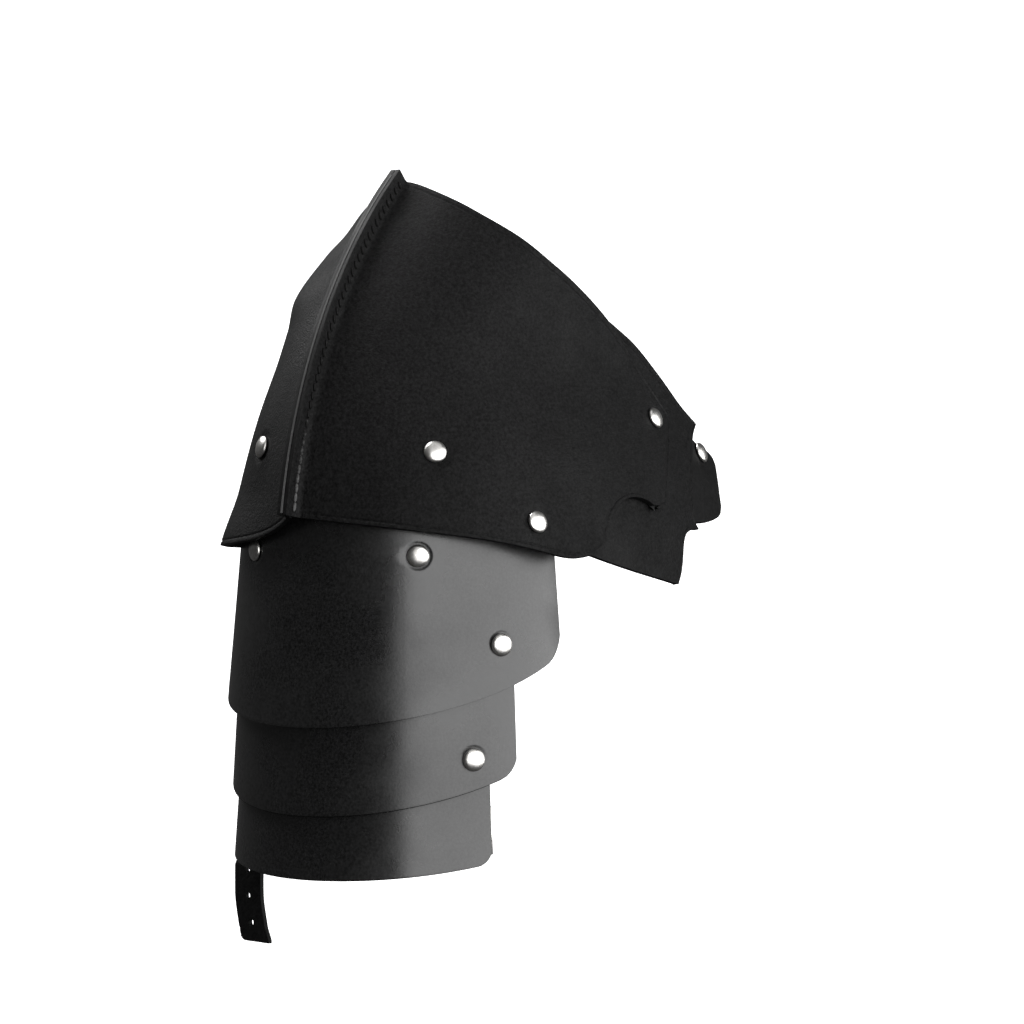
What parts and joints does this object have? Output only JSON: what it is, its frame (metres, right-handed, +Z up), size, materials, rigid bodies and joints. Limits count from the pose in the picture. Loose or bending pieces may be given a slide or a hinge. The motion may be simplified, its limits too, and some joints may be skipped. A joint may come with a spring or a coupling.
{
  "type": "leather pauldron",
  "caption": "Worn leather shoulder guard with a ridged two-panel cap, overlapping upper-arm lames, domed rivets, a chest tab and a holed arm strap.",
  "frame": {"origin": "the top of the wearer's right shoulder, on the upper arm's axis, under the ridge seam", "axes": "+Z up, -X outward from the wearer's side, +X inward to the neck, -Y to the wearer's front; the arm hangs down the Z axis"},
  "size_m": [0.2759, 0.2078, 0.3864],
  "materials": {
    "cap_leather": "matte black leather with a fine mottled grain",
    "lame_leather": "smooth black leather with a satin gloss",
    "strap_leather": "black strap leather with a coarse grain",
    "rivet_metal": "bright nickel-plated domes"
  },
  "bodies": {
    "root": {"front_panel": "cap_leather", "back_panel": "cap_leather", "front_underlay": "cap_leather", "chest_tab": "strap_leather", "lame_upper": "lame_leather", "lame_middle": "lame_leather", "lame_lower": "lame_leather", "inner_strap_front": "strap_leather", "inner_strap_back": "strap_leather", "arm_strap": "strap_leather", "buckle_tab": "strap_leather", "arm_buckle": "rivet_metal", "rivet_panel_front": "rivet_metal", "rivet_panel_low": "rivet_metal", "rivet_panel_chest": "rivet_metal", "rivet_panel_back": "rivet_metal", "rivet_tab": "rivet_metal", "rivet_upper_front": "rivet_metal", "rivet_upper_back": "rivet_metal", "rivet_middle_front": "rivet_metal", "rivet_middle_back": "rivet_metal", "rivet_lower_front": "rivet_metal", "rivet_lower_back": "rivet_metal"}
  },
  "joints": []
}
